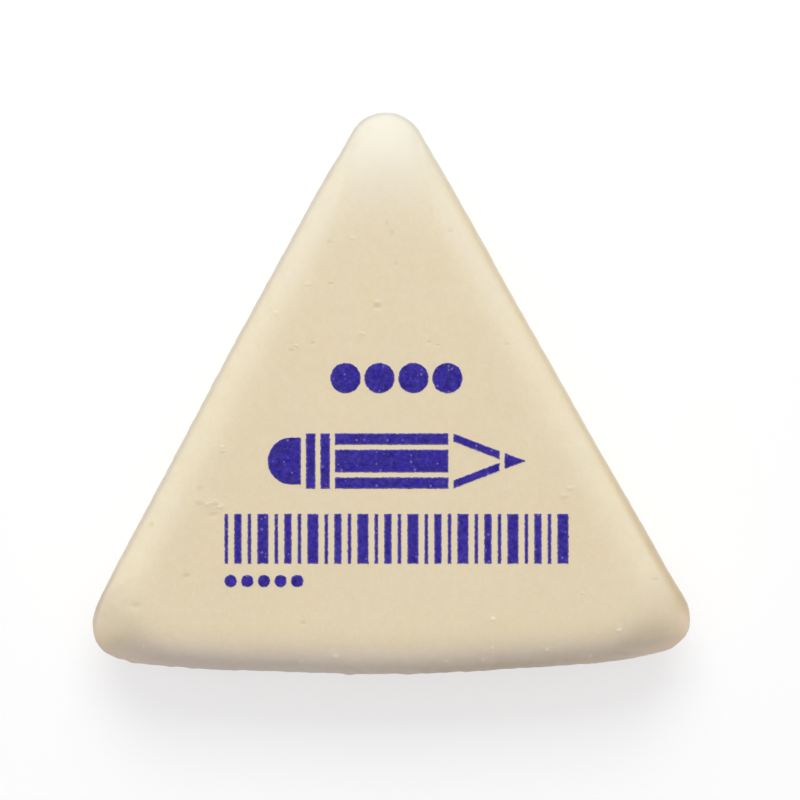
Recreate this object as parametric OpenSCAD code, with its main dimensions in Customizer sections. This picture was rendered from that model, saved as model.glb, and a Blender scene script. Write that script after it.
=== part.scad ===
// Triangular eraser: one tumbled block of cream rubber with a plain blue ink print on its top face.
// The block lies on its back. +Z is up through the printed face, and the apex points along +Y.
// The origin is the middle of the block's footprint, on the surface that it rests on.

/* [Block] */
// Base between the sharp corners, before they are rounded
base_w = 47; // [45:0.1:60]
// Height from the base corners up to the sharp apex
apex_h = 42.7; // [40:0.1:56]
// How far the base bows out at its middle
base_bow = 1.6; // [0.3:0.1:3]
// Radius of the three corners, seen from above
corner_r = 3; // [2:0.1:4]
// Thickness of the rubber sheet that the block is cut from
thickness = 10; // [7:0.5:14]

/* [Rolled edge] */
// Width of the roll, from the flat face out to the wall
roll_w = 4.2; // [2.5:0.1:5]
// Radius of the flat face's apex, where tumbling wears a long slope
apex_flat_r = 5; // [2:0.1:6]
// Radius of the flat face's base corners
base_flat_r = 0.6; // [0.4:0.1:3]
// How much rounder the base corners are worn between the wall and the flat face
base_wear = 6.5; // [0:0.1:8]
// Fullness of the roll: 2 is an ellipse, and more is squarer
roll_power = 3.5; // [2:0.1:5]

/* [Print] */
// Thickness of the ink film
ink_t = 0.05; // [0.02:0.01:0.1]
// Space between the lower edge of the flat face and the print
print_lift = 2.3; // [1.2:0.1:3]
// Space that the long rows keep from the sides of the flat face
print_margin = 0.1; // [0:0.1:2]
// Sideways shift of the print from the block's middle line
print_shift = 0.5; // [-1:0.1:1]
// Turn of the print on the face, in degrees
print_turn = -0.6; // [-2:0.1:2]

/* [Foot dots] */
// Diameter of a small dot in the foot row
foot_dot_d = 0.9; // [0.5:0.1:1.1]
// Spacing of the small dots
foot_pitch = 1.2; // [1.1:0.1:2]
// Number of small dots
foot_count = 5; // [1:1:7]

/* [Bar band] */
// Space between the foot row and the bar band
bar_lift = 0.8; // [0.4:0.1:1.5]
// Height of the bars
bar_h = 3.6; // [2:0.1:4]
// Width of the thinnest bar
bar_unit = 0.27; // [0.2:0.01:0.35]
// Space between two bars
bar_gap = 0.43; // [0.3:0.01:0.6]

/* [Pencil] */
// Space between the bar band and the pencil
pencil_lift = 1.8; // [1:0.1:2.5]
// Height of the pencil across its facets
pencil_h = 4; // [3.5:0.1:4.5]
// Length of the sharpened cone, with its lead
cone_l = 5.2; // [4:0.1:6]
// Length of the lead
lead_l = 1.5; // [1:0.1:2]
// Width of the inked edges of the cone
cone_edge = 0.6; // [0.3:0.05:0.7]
// Length of the rubber end
rubber_l = 2.4; // [1.8:0.1:3]
// Height of the rubber end
rubber_h = 3.4; // [2.5:0.1:3.5]
// Width of one ferrule band
ferrule_w = 0.7; // [0.5:0.1:1]
// Bare line between two inked fields
pencil_line = 0.35; // [0.25:0.05:0.45]

/* [Top dots] */
// Space between the pencil and the row of large dots
dot_lift = 2.9; // [1:0.1:3.5]
// Diameter of a large dot
dot_d = 2.2; // [1.5:0.1:2.3]
// Spacing of the large dots
dot_pitch = 2.45; // [2.4:0.05:2.7]
// Number of large dots
dot_count = 4; // [1:1:4]

/* [Hidden] */
$fn = 64;
rubber = "#e2d3b3";
ink = "#3f3492";

// Number of steps round a corner, along the bowed base, and across the roll from face to wall
corner_steps = 16;
base_steps = 16;
roll_steps = 12;

// Half of the apex angle, and the circle that the bowed base follows
half_apex = atan2(base_w / 2, apex_h);
bow_r = (pow(base_w / 2, 2) + pow(base_bow, 2)) / (2 * base_bow);
bow_y = bow_r - base_bow;

// Middle of the rounded outline, which becomes the origin
apex_y = apex_h - corner_r * (1 / sin(half_apex) - 1);
middle_y = (apex_y - base_bow) / 2;

// Half of the flat face's width at a height above the base corners, and what a long row may fill of it
function flat_half(y) = base_w / 2 * (1 - y / apex_h) - roll_w / cos(half_apex);
function row_half(y) = flat_half(y) - abs(print_shift) - print_margin;

// Rhythm of the bars, counted in thin bars, and the width of one repeat
bar_rhythm = [1, 2, 1, 3];
function sum_before(list, i) = i == 0 ? 0 : list[i - 1] + sum_before(list, i - 1);
bars_in_group = len(bar_rhythm);
group_w = sum_before(bar_rhythm, bars_in_group) * bar_unit + bars_in_group * bar_gap;

// Rows of the print, stacked upwards from the lower edge of the flat face
print_y = roll_w - base_bow + print_lift;
foot_y = print_y + foot_dot_d / 2;
bar_y = print_y + foot_dot_d + bar_lift;
bar_top = bar_y + bar_h;
pencil_y = bar_top + pencil_lift + pencil_h / 2;
pencil_top = pencil_y + pencil_h / 2;
dot_y = pencil_top + dot_lift + dot_d / 2;

// The band repeats its rhythm as often as the flat face has room for
bar_groups = floor((2 * row_half(bar_top) + bar_gap) / group_w);
band_w = bar_groups * group_w - bar_gap;

// The pencil's shaft takes the length that its other fields leave
pencil_l = 2 * row_half(pencil_top);
shaft_l = pencil_l - rubber_l - 2 * ferrule_w - cone_l - 4 * pencil_line;
facet_h = (pencil_h - 2 * pencil_line) / 4;

// Points along an arc, from one angle to another
function arc(centre, r, from, to, steps) =
    [for (i = [0 : steps]) let (a = from + (to - from) * i / steps) centre + r * [cos(a), sin(a)]];

// Centre of a base corner's circle, which touches the leg and the bowed base, both moved in by the inset
function base_corner(inset, r) =
    let (
        drop = apex_h - (inset + r) / sin(half_apex) - bow_y,
        reach = bow_r - inset - r,
        along = drop * cos(half_apex) + sqrt(pow(reach, 2) - pow(drop * sin(half_apex), 2))
    )
    [along * sin(half_apex), drop + bow_y - along * cos(half_apex)];

// The block's outline, moved in by an inset and rounded with the two radii, anticlockwise from the apex
function outline(inset, apex_r, base_r) =
    let (
        apex = [0, apex_h - (inset + apex_r) / sin(half_apex)],
        right = base_corner(inset, base_r),
        left = [-right.x, right.y],
        fall = atan2(right.y - bow_y, right.x),
        base = arc([0, bow_y], bow_r - inset, 180 - fall, 360 + fall, base_steps)
    )
    concat(
        arc(apex, apex_r, half_apex, 180 - half_apex, corner_steps),
        arc(left, base_r, 180 - half_apex, 180 - fall, corner_steps),
        [for (i = [1 : base_steps - 1]) base[i]],
        arc(right, base_r, 360 + fall, 360 + half_apex, corner_steps)
    );

// Inset and height of a point on the roll's section, a superellipse from the bottom at -90 to the top at 90
function roll(a) =
    let (
        out = pow(max(0, cos(a)), 2 / roll_power),
        up = pow(abs(sin(a)), 2 / roll_power)
    )
    [roll_w * (1 - out), thickness / 2 * (1 + sign(a) * up)];

// One ring of the block: the outline at that inset, with corners between the wall's radius and the face's
function ring(section) =
    let (
        within = section[0] / roll_w,
        apex_r = corner_r + (apex_flat_r - corner_r) * within,
        base_r = corner_r + (base_flat_r - corner_r) * within + base_wear * (sqrt(within) - within)
    )
    [for (p = outline(section[0], apex_r, base_r)) [p.x, p.y - middle_y, section[1]]];

// The tumbled form, lofted through rings from the bottom face to the top face
module tumbled_form() {
    rings = [for (i = [-roll_steps : roll_steps]) ring(roll(90 * i / roll_steps))];
    count = len(rings[0]);
    last = len(rings) - 1;
    polyhedron(
        points = [for (r = rings) each r],
        faces = concat(
            [[for (i = [0 : count - 1]) i]],
            [for (k = [0 : last - 1], i = [0 : count - 1])
                let (j = (i + 1) % count)
                [k * count + j, k * count + i, (k + 1) * count + i, (k + 1) * count + j]],
            [[for (i = [count - 1 : -1 : 0]) last * count + i]]
        )
    );
}

// The slab of rubber that the block is cut from, wider than the block on every side
module sheet() {
    side = base_w + apex_h;
    translate([-side / 2, -side / 2, 0]) cube([side, side, thickness]);
}

module rubber_block() {
    color(rubber) intersection() {
        tumbled_form();
        sheet();
    }
}

// An ink film of the given flat shape, lying on the top face in the print's own place
module film() {
    color(ink)
        translate([print_shift, -middle_y, thickness])
            rotate([0, 0, print_turn])
                linear_extrude(ink_t) children();
}

// A row of equal dots
module dot_row(count, pitch, d) {
    for (i = [0 : count - 1]) translate([i * pitch, 0]) circle(d = d);
}

module ink_top_dots() {
    film() translate([-(dot_count - 1) * dot_pitch / 2, dot_y]) dot_row(dot_count, dot_pitch, dot_d);
}

// The foot row starts below the left end of the bar band
module ink_foot_dots() {
    film() translate([(foot_dot_d - band_w) / 2, foot_y]) dot_row(foot_count, foot_pitch, foot_dot_d);
}

module ink_bar_band() {
    film() for (g = [0 : bar_groups - 1], i = [0 : bars_in_group - 1])
        translate([g * group_w + sum_before(bar_rhythm, i) * bar_unit + i * bar_gap - band_w / 2, bar_y])
            square([bar_rhythm[i] * bar_unit, bar_h]);
}

// The pencil's rubber end, rounded at the back
module pencil_rubber() {
    intersection() {
        translate([rubber_h / 2, 0]) circle(d = rubber_h);
        translate([0, -rubber_h / 2]) square([rubber_l, rubber_h]);
    }
    translate([rubber_h / 2, -rubber_h / 2]) square([rubber_l - rubber_h / 2, rubber_h]);
}

// Two bands of the ferrule
module pencil_ferrule() {
    for (i = [0, 1]) translate([i * (ferrule_w + pencil_line), -pencil_h / 2]) square([ferrule_w, pencil_h]);
}

// Three facets of the painted shaft, the middle one twice as high as the others
module pencil_shaft() {
    translate([0, -facet_h]) square([shaft_l, 2 * facet_h]);
    for (y = [-pencil_h / 2, pencil_h / 2 - facet_h]) translate([0, y]) square([shaft_l, facet_h]);
}

// The sharpened cone: two slanted edges with bare wood between them, and the lead
module pencil_cone() {
    taper = pencil_h / 2 / cone_l;
    wood_l = cone_l - lead_l - pencil_line;
    wood_h = pencil_h / 2 - taper * wood_l;
    for (side = [-1, 1]) polygon([
        [0, side * pencil_h / 2],
        [0, side * (pencil_h / 2 - cone_edge)],
        [wood_l, side * (wood_h - cone_edge)],
        [wood_l, side * wood_h]
    ]);
    lead = [cone_l - lead_l, taper * lead_l];
    polygon([lead, [lead.x, -lead.y], [cone_l, 0]]);
}

module ink_pencil() {
    ferrule_x = rubber_l + pencil_line;
    shaft_x = ferrule_x + 2 * (ferrule_w + pencil_line);
    film() translate([-pencil_l / 2, pencil_y]) {
        pencil_rubber();
        translate([ferrule_x, 0]) pencil_ferrule();
        translate([shaft_x, 0]) pencil_shaft();
        translate([shaft_x + shaft_l + pencil_line, 0]) pencil_cone();
    }
}

rubber_block();
ink_top_dots();
ink_pencil();
ink_bar_band();
ink_foot_dots();
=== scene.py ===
"""The triangular eraser as it looks: a tumbled block of cream rubber with an ink print, in a soft studio."""

import logging
import math
from dataclasses import dataclass, field
from enum import Enum
from typing import Any

import bpy
import numpy as np
from numpy.typing import NDArray
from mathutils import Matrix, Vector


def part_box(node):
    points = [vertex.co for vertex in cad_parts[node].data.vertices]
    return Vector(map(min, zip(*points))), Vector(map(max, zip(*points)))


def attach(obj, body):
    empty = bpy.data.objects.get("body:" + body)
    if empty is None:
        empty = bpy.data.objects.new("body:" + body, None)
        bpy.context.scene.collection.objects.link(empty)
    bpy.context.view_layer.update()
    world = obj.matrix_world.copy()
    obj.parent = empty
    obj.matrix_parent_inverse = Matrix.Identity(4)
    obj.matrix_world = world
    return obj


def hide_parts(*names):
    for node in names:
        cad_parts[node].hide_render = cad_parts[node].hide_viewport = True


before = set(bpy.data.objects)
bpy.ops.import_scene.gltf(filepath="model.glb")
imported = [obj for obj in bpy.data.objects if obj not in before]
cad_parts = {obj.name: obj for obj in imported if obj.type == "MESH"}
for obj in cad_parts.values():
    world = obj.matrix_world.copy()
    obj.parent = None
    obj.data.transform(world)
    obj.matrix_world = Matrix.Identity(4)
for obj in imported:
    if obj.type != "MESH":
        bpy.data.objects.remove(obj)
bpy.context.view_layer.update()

Array = NDArray[np.float64]
Rgb = tuple[float, float, float]
Span = tuple[float, float]
Layers = tuple[tuple[float, float, float], ...]

MM = 0.001
log = logging.getLogger("eraser")


def linear(red: float, green: float, blue: float) -> Rgb:
    """Turns a colour as a picture shows it into the linear colour that a shader takes.

    Args:
        red, green, blue: The channels, from 0 to 255.

    Returns:
        The linear channels, from 0 to 1.
    """
    shown = np.array([red, green, blue]) / 255
    low, high = shown / 12.92, ((shown + 0.055) / 1.055) ** 2.4
    return tuple(float(c) for c in np.where(shown <= 0.04045, low, high))


@dataclass(frozen=True)
class Waves:
    """A smooth random field made of cosine waves with seeded directions, lengths and phases.

    Attributes:
        seed: Seed of the random draws.
        shortest: Shortest wavelength, in metres.
        longest: Longest wavelength, in metres.
        count: Number of waves.
    """

    seed: int
    shortest: float
    longest: float
    count: int = 32

    def at(self, points: Array) -> Array:
        """Samples the field: the sum of cos(2 pi p.d / length + phase), scaled to a spread of 1.

        Args:
            points: Points of any dimension, along the last axis.

        Returns:
            One value per point.
        """
        rng = np.random.default_rng(self.seed)
        directions = rng.normal(size=(self.count, points.shape[-1]))
        directions /= np.linalg.norm(directions, axis=1, keepdims=True)
        spread = rng.uniform(math.log(self.shortest), math.log(self.longest), self.count)
        phases = rng.uniform(0, 2 * math.pi, self.count)
        turns = points @ (2 * math.pi * directions / np.exp(spread)[:, None]).T
        return np.cos(turns + phases).sum(-1) / math.sqrt(self.count / 2)


def smooth_step(value: Array, low: float, high: float) -> Array:
    """Rises smoothly from 0 at low to 1 at high, as 3t^2 - 2t^3."""
    t = np.clip((value - low) / (high - low), 0, 1)
    return t * t * (3 - 2 * t)


def bell(value: Array, reach: float) -> Array:
    """The bell exp(-(value / reach)^2)."""
    return np.exp(-((value / reach) ** 2))


def ring_faces(rings: int, points: int) -> Array:
    """Joins stacked rings of points into quads, each ring closed on itself.

    Args:
        rings: Number of rings.
        points: Number of points in a ring.

    Returns:
        The quads' vertex numbers, facing outwards when the rings run anticlockwise and upwards.
    """
    start = np.arange(rings - 1)[:, None] * points
    here = np.arange(points)[None, :]
    after = (here + 1) % points
    quads = [start + here, start + after, start + points + after, start + points + here]
    return np.stack(quads, -1).reshape(-1, 4)


def mesh_piece(name: str, vertices: Array, faces: list[Array]) -> bpy.types.Object:
    """Makes a smooth mesh piece at the origin from whole arrays.

    Args:
        name: The piece's name.
        vertices: Points in metres, one per row.
        faces: Arrays of vertex numbers, each with one face per row.

    Returns:
        The new object, linked into the scene.
    """
    mesh = bpy.data.meshes.new(name)
    mesh.from_pydata(vertices, [], [face for block in faces for face in block.tolist()])
    mesh.polygons.foreach_set("use_smooth", np.ones(len(mesh.polygons), dtype=bool))
    mesh.update()
    piece = bpy.data.objects.new(name, mesh)
    bpy.context.scene.collection.objects.link(piece)
    return piece


def point_attribute(piece: bpy.types.Object, name: str, values: Array) -> None:
    """Stores one number per vertex under a name that a material can read.

    Args:
        piece: The mesh object.
        name: The attribute's name.
        values: One value per vertex.
    """
    attribute = piece.data.attributes.new(name, "FLOAT", "POINT")
    attribute.data.foreach_set("value", values.astype(np.float32).ravel())


class Socket(Enum):
    """Kinds of socket on a shader node group."""

    VALUE = "NodeSocketFloat"
    COLOUR = "NodeSocketColor"
    VECTOR = "NodeSocketVector"


class NodeBoard:
    """Adds and wires the nodes of one shader tree."""

    def __init__(self, tree: bpy.types.NodeTree) -> None:
        """Takes the tree to work on, emptied of its nodes."""
        self.tree = tree
        tree.nodes.clear()

    def add(self, kind: str, inputs: dict[str | int, Any] | None = None, **options: Any) -> bpy.types.Node:
        """Adds a node.

        Args:
            kind: Blender's name of the node's type.
            inputs: Values or output sockets, by the input's name or number.
            options: Settings of the node itself.

        Returns:
            The new node.
        """
        node = self.tree.nodes.new(kind)
        for name, value in options.items():
            setattr(node, name, value)
        for key, value in (inputs or {}).items():
            if isinstance(value, bpy.types.NodeSocket):
                self.tree.links.new(value, node.inputs[key])
            else:
                node.inputs[key].default_value = value
        return node

    def math(self, operation: str, first: Any, second: Any = 0.0) -> bpy.types.NodeSocket:
        """Combines two values by a named operation and returns the result's socket."""
        return self.add("ShaderNodeMath", {0: first, 1: second}, operation=operation).outputs[0]

    def vector(self, operation: str, first: Any, second: Any) -> bpy.types.NodeSocket:
        """Combines two vectors by a named operation and returns the result's socket."""
        return self.add("ShaderNodeVectorMath", {0: first, 1: second}, operation=operation).outputs[0]

    def blend(self, share: Any, first: Any, second: Any, mode: str = "MIX") -> bpy.types.NodeSocket:
        """Mixes two colours.

        Args:
            share: How much of the second colour shows, from 0 to 1.
            first: Colour or socket below.
            second: Colour or socket above.
            mode: Blender's name of the blend.

        Returns:
            The mixed colour's socket.
        """
        colours = [c if isinstance(c, bpy.types.NodeSocket) else (*c, 1.0) for c in (first, second)]
        inputs = {0: share, 6: colours[0], 7: colours[1]}
        return self.add("ShaderNodeMix", inputs, data_type="RGBA", blend_type=mode).outputs[2]

    def ramp(self, value: Any, low: Any, high: Any, start: Any = 0.0, end: Any = 1.0) -> bpy.types.NodeSocket:
        """Carries a value smoothly from the range low to high onto the range start to end."""
        inputs = {"Value": value, "From Min": low, "From Max": high, "To Min": start, "To Max": end}
        return self.add("ShaderNodeMapRange", inputs, interpolation_type="SMOOTHSTEP").outputs[0]

    def effect(self, group: bpy.types.NodeTree, inputs: dict[str, Any]) -> bpy.types.NodeSocket:
        """Places an effect group with its own values and returns its output."""
        return self.add("ShaderNodeGroup", inputs, node_tree=group).outputs[0]

    def surface(self, shader: bpy.types.Node, kind: str = "ShaderNodeOutputMaterial") -> None:
        """Puts a shader on an output node of the given kind."""
        self.tree.links.new(shader.outputs[0], self.add(kind).inputs["Surface"])


def open_material(name: str) -> tuple[bpy.types.Material, NodeBoard]:
    """Starts a material with an empty board.

    Args:
        name: The material's name.

    Returns:
        The material and its board.
    """
    made = bpy.data.materials.new(name)
    made.use_nodes = True
    return made, NodeBoard(made.node_tree)


class Effects:
    """Shader node groups for the effects that the rubber and the ink share."""

    def __init__(self) -> None:
        """Builds each group once."""
        self.tone_drift = self._tone_drift()
        self.specks = self._specks()
        self.fine_grain = self._fine_grain()
        self.spot = self._spot()

    @staticmethod
    def _open(name: str, inputs: dict[str, Socket], output: tuple[str, Socket]) -> tuple[NodeBoard, Any, Any]:
        """Starts a group with named sockets.

        Args:
            name: The group's name.
            inputs: Kind of each input, by name.
            output: Name and kind of the output.

        Returns:
            The group's board, its input node and its output node.
        """
        tree = bpy.data.node_groups.new(name, "ShaderNodeTree")
        for label, kind in inputs.items():
            tree.interface.new_socket(label, in_out="INPUT", socket_type=kind.value)
        tree.interface.new_socket(output[0], in_out="OUTPUT", socket_type=output[1].value)
        board = NodeBoard(tree)
        return board, board.add("NodeGroupInput"), board.add("NodeGroupOutput")

    def _tone_drift(self) -> bpy.types.NodeTree:
        """A colour that grows a little lighter and darker, and greyer and warmer, in soft patches."""
        inputs = {
            "Vector": Socket.VECTOR,
            "Colour": Socket.COLOUR,
            "Scale": Socket.VALUE,
            "Light": Socket.VALUE,
            "Warmth": Socket.VALUE,
        }
        board, given, result = self._open("tone_drift", inputs, ("Colour", Socket.COLOUR))
        swings = []
        for name, shift in (("Light", 0.0), ("Warmth", 7.3)):
            moved = board.vector("ADD", given.outputs["Vector"], (shift,) * 3)
            noise = {"Vector": moved, "Scale": given.outputs["Scale"], "Detail": 2.0}
            patches = board.add("ShaderNodeTexNoise", noise)
            swing = board.ramp(patches.outputs[0], 0.3, 0.7, -1.0, 1.0)
            swings.append(board.math("ADD", board.math("MULTIPLY", swing, given.outputs[name]), 1.0))
        inputs = {"Value": swings[0], "Saturation": swings[1], "Color": given.outputs["Colour"]}
        toned = board.add("ShaderNodeHueSaturation", inputs)
        board.tree.links.new(toned.outputs[0], result.inputs[0])
        return board.tree

    def _spot(self) -> bpy.types.NodeTree:
        """A mask of one soft oval spot: 1 near its centre, falling to 0 at its radii."""
        inputs = {"Vector": Socket.VECTOR, "Centre": Socket.VECTOR, "Radii": Socket.VECTOR}
        board, given, result = self._open("spot", inputs, ("Mask", Socket.VALUE))
        away = board.vector("SUBTRACT", given.outputs["Vector"], given.outputs["Centre"])
        within = board.vector("DIVIDE", away, given.outputs["Radii"])
        length = board.add("ShaderNodeVectorMath", {0: within}, operation="LENGTH").outputs["Value"]
        near = board.math("SUBTRACT", 1.0, length)
        board.tree.links.new(board.ramp(near, 0.0, 0.8), result.inputs[0])
        return board.tree

    def _specks(self) -> bpy.types.NodeTree:
        """A mask of small round specks, in a share of the cells of a random cell pattern."""
        inputs = {"Vector": Socket.VECTOR, "Scale": Socket.VALUE, "Size": Socket.VALUE, "Share": Socket.VALUE}
        board, given, result = self._open("specks", inputs, ("Mask", Socket.VALUE))
        pattern = {"Vector": given.outputs["Vector"], "Scale": given.outputs["Scale"]}
        cells = board.add("ShaderNodeTexVoronoi", pattern)
        draw = board.add("ShaderNodeSeparateColor", {0: cells.outputs["Color"]})
        chosen = board.math("LESS_THAN", draw.outputs[0], given.outputs["Share"])
        reach = board.math("MULTIPLY", given.outputs["Size"], board.math("ADD", draw.outputs[1], 0.5))
        near = board.math("SUBTRACT", 1.0, board.math("DIVIDE", cells.outputs["Distance"], reach))
        round_speck = board.ramp(near, 0.0, 0.6)
        board.tree.links.new(board.math("MULTIPLY", chosen, round_speck), result.inputs[0])
        return board.tree

    def _fine_grain(self) -> bpy.types.NodeTree:
        """A height that rises and falls finely, as on a matte moulded surface."""
        inputs = {"Vector": Socket.VECTOR, "Scale": Socket.VALUE}
        board, given, result = self._open("fine_grain", inputs, ("Height", Socket.VALUE))
        noise = {"Vector": given.outputs["Vector"], "Scale": given.outputs["Scale"]}
        grain = board.add("ShaderNodeTexNoise", noise | {"Detail": 4.0, "Roughness": 0.6})
        board.tree.links.new(grain.outputs[0], result.inputs[0])
        return board.tree

    def drift(self, board: NodeBoard, place: bpy.types.NodeSocket, colour: Rgb, layers: Layers) -> Any:
        """Lets a colour drift in soft patches of several sizes.

        Args:
            board: The material's board.
            place: The point that is shaded.
            colour: The colour to start from.
            layers: Scale, swing in lightness and swing in warmth of each size of patch.

        Returns:
            The drifted colour's socket.
        """
        drifted: Any = (*colour, 1)
        for scale, light, warmth in layers:
            inputs = {"Vector": place, "Colour": drifted, "Scale": scale, "Light": light, "Warmth": warmth}
            drifted = board.effect(self.tone_drift, inputs)
        return drifted


class MarkKind(Enum):
    """What a small mark in the rubber is: its relief, and how much of its own colour shows."""

    # Pits and nicks take the darker pit colour, painted shade in their hollows.
    PIT = (-0.9, 0.15)
    NICK = (-0.8, 0.12)
    STAIN = (0.0, 0.3)
    CRUMB = (0.8, 0.14)
    GRAIN = (1.0, 0.12)
    FLECK = (1.0, 0.45)

    @property
    def relief(self) -> float:
        """Height of the mark's middle, below 0 for a hollow."""
        return self.value[0]

    @property
    def share(self) -> float:
        """How much of the mark's colour shows."""
        return self.value[1]


@dataclass(frozen=True)
class Mark:
    """A small mark in the rubber.

    Attributes:
        kind: What it is.
        x, y: Its place from the block's middle, in millimetres.
        radius: Its radius, in millimetres.
        stretch: How many times wider than high it is.
    """

    kind: MarkKind
    x: float
    y: float
    radius: float
    stretch: float = 1.5


def marks_of(kind: MarkKind, rows: tuple[tuple[float, ...], ...]) -> tuple[Mark, ...]:
    """Makes marks of one kind from rows of place, radius and, where it isn't the usual one, stretch."""
    return tuple(Mark(kind, *row) for row in rows)


@dataclass(frozen=True)
class RubberFinish:
    """Matte cream rubber with dust and bloom, painted light on its corners, painted highlights and shade on
    its roll and rim, and small marks.

    Attributes:
        cream: Colour of the flat face.
        dust_and_fill_colour: Colour of the dust on the base's roll, which also paints cool fill light on that
            shaded side.
        bloom_and_highlight: Colour of the bloom and painted highlight on the legs' roll and at the apex.
        worn: Colour of the painted light on the base corners' walls and shoulders, which makes them look
            rubbed pale.
        painted_shade, warm_painted_shade: What the rubber keeps of its colour under the painted shade, and
            under
        the warm painted shade at the rim and in the corners' folds.
        pit_shade, stain, crumb, fleck: Colours of the pits and nicks, darker as painted shade in their
            hollows, of
        the stain, of the crumbs and of the light flecks.
        roughness: Middle roughness of the surface.
        drifts: Scale, swing in lightness and swing in warmth of the colour's soft patches.
        mark_height: Height of a mark in the bump, next to the grain.
        mark_wobble: How ragged a mark's edge is.
        lowest_mark: Height above which marks are drawn.
        bump_depth: Depth of the bump.
    """

    cream: Rgb = linear(225, 210, 177)
    dust_and_fill_colour: Rgb = linear(240, 228, 225)
    bloom_and_highlight: Rgb = linear(231, 232, 224)
    worn: Rgb = linear(253, 228, 198)
    painted_shade: Rgb = (0.7, 0.7, 0.71)
    warm_painted_shade: Rgb = (0.78, 0.7, 0.59)
    pit_shade: Rgb = linear(186, 166, 132)
    stain: Rgb = linear(205, 178, 98)
    crumb: Rgb = linear(190, 170, 136)
    fleck: Rgb = linear(248, 244, 232)
    roughness: float = 0.62
    drifts: Layers = ((180.0, 0.008, 0.015), (1400.0, 0.011, 0.03), (4500.0, 0.014, 0.03))
    mark_height: float = 3.5
    mark_wobble: float = 0.25 * MM
    lowest_mark: float = 5 * MM
    bump_depth: float = 0.02 * MM

    def _mark_colour(self, kind: MarkKind) -> Rgb:
        """Colour of a kind of mark."""
        colours = {MarkKind.STAIN: self.stain, MarkKind.CRUMB: self.crumb}
        light = (MarkKind.GRAIN, MarkKind.FLECK)
        return self.fleck if kind in light else colours.get(kind, self.pit_shade)

    def _body(self, board: NodeBoard, effects: Effects, place: bpy.types.NodeSocket) -> bpy.types.NodeSocket:
        """Colour of the rubber with its soft patches, its dust and bloom, its painted light, highlights and
        shade, and loose grains.

        Args:
            board: The material's board.
            effects: The shared node groups.
            place: The point that is shaded.

        Returns:
            The colour's socket.
        """
        colour = effects.drift(board, place, self.cream, self.drifts)
        names = ("dust_and_fill_light", "bloom_and_highlight", "worn", "painted_shade", "warm_painted_shade")
        shares = [board.add("ShaderNodeAttribute", attribute_name=name).outputs["Fac"] for name in names]
        dust_and_fill_light, bloom_and_highlight, worn, painted_shade, warm_painted_shade = shares
        patchy = board.effect(effects.fine_grain, {"Vector": place, "Scale": 1800.0})
        # Dust on the base's roll, which also paints cool fill light on that shaded side, bloom with a painted
        # highlight on the legs and apex, painted light on the base corners, then painted shade and warm
        # painted shade at the rim, on the apex's roll and in the corners' folds.
        strewn = board.math("MULTIPLY", dust_and_fill_light, board.ramp(patchy, 0.3, 0.7, 0.8, 1.2))
        colour = board.blend(strewn, colour, self.dust_and_fill_colour)
        colour = board.blend(bloom_and_highlight, colour, self.bloom_and_highlight)
        colour = board.blend(worn, colour, self.worn)
        colour = board.blend(painted_shade, colour, self.painted_shade, "MULTIPLY")
        colour = board.blend(warm_painted_shade, colour, self.warm_painted_shade, "MULTIPLY")
        grains = board.effect(effects.specks, {"Vector": place, "Scale": 900.0, "Size": 0.1, "Share": 0.12})
        settled = board.math("MULTIPLY", grains, board.ramp(dust_and_fill_light, 0.15, 0.4, 0.0, 0.6))
        return board.blend(settled, colour, self.fleck)

    def _marks(
        self,
        board: NodeBoard,
        effects: Effects,
        place: bpy.types.NodeSocket,
        marks: list[Mark],
    ) -> bpy.types.NodeSocket:
        """Mask of some marks, seen from above, on the upper half only.

        Args:
            board: The material's board.
            effects: The shared node groups.
            place: The point that is shaded.
            marks: The marks to draw.

        Returns:
            The mask's socket.
        """
        noise = board.add("ShaderNodeTexNoise", {"Vector": place, "Scale": 5000.0})
        centred = board.vector("ADD", noise.outputs[1], (-0.5,) * 3)
        moved = board.vector("ADD", place, board.vector("MULTIPLY", centred, (self.mark_wobble,) * 3))
        flat = board.vector("MULTIPLY", moved, (1, 1, 0))
        mask = board.math("ADD", 0.0)
        for mark in marks:
            centre = (mark.x * MM, mark.y * MM, 0)
            radii = (mark.radius * mark.stretch * MM, mark.radius * MM, MM)
            spot = {"Vector": flat, "Centre": centre, "Radii": radii}
            mask = board.math("MAXIMUM", mask, board.effect(effects.spot, spot))
        height = board.add("ShaderNodeSeparateXYZ", {0: place}).outputs[2]
        return board.math("MULTIPLY", mask, board.math("GREATER_THAN", height, self.lowest_mark))

    def material(self, effects: Effects, marks: tuple[Mark, ...]) -> bpy.types.Material:
        """Builds the rubber's material.

        Args:
            effects: The shared node groups.
            marks: The small marks in the rubber.

        Returns:
            The material.
        """
        made, board = open_material("eraser_rubber")
        place = board.add("ShaderNodeTexCoord").outputs["Object"]
        colour = self._body(board, effects, place)
        grain = board.effect(effects.fine_grain, {"Vector": place, "Scale": 4500.0})
        pits = board.effect(effects.specks, {"Vector": place, "Scale": 420.0, "Size": 0.06, "Share": 0.3})
        height = board.math("SUBTRACT", board.math("MULTIPLY", grain, 0.5), pits)
        for kind in MarkKind:
            mask = self._marks(board, effects, place, [mark for mark in marks if mark.kind is kind])
            colour = board.blend(board.math("MULTIPLY", mask, kind.share), colour, self._mark_colour(kind))
            height = board.math("ADD", height, board.math("MULTIPLY", mask, self.mark_height * kind.relief))
        bump = board.add("ShaderNodeBump", {"Height": height, "Strength": 0.35, "Distance": self.bump_depth})
        rough = board.ramp(grain, 0.3, 0.7, self.roughness - 0.05, self.roughness + 0.05)
        shader = board.add(
            "ShaderNodeBsdfPrincipled",
            {
                "Base Color": colour,
                "Roughness": rough,
                "Normal": bump.outputs[0],
                "Specular IOR Level": 0.3,
                "Sheen Weight": 0.15,
                "Sheen Roughness": 0.4,
            },
        )
        board.surface(shader)
        return made


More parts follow.
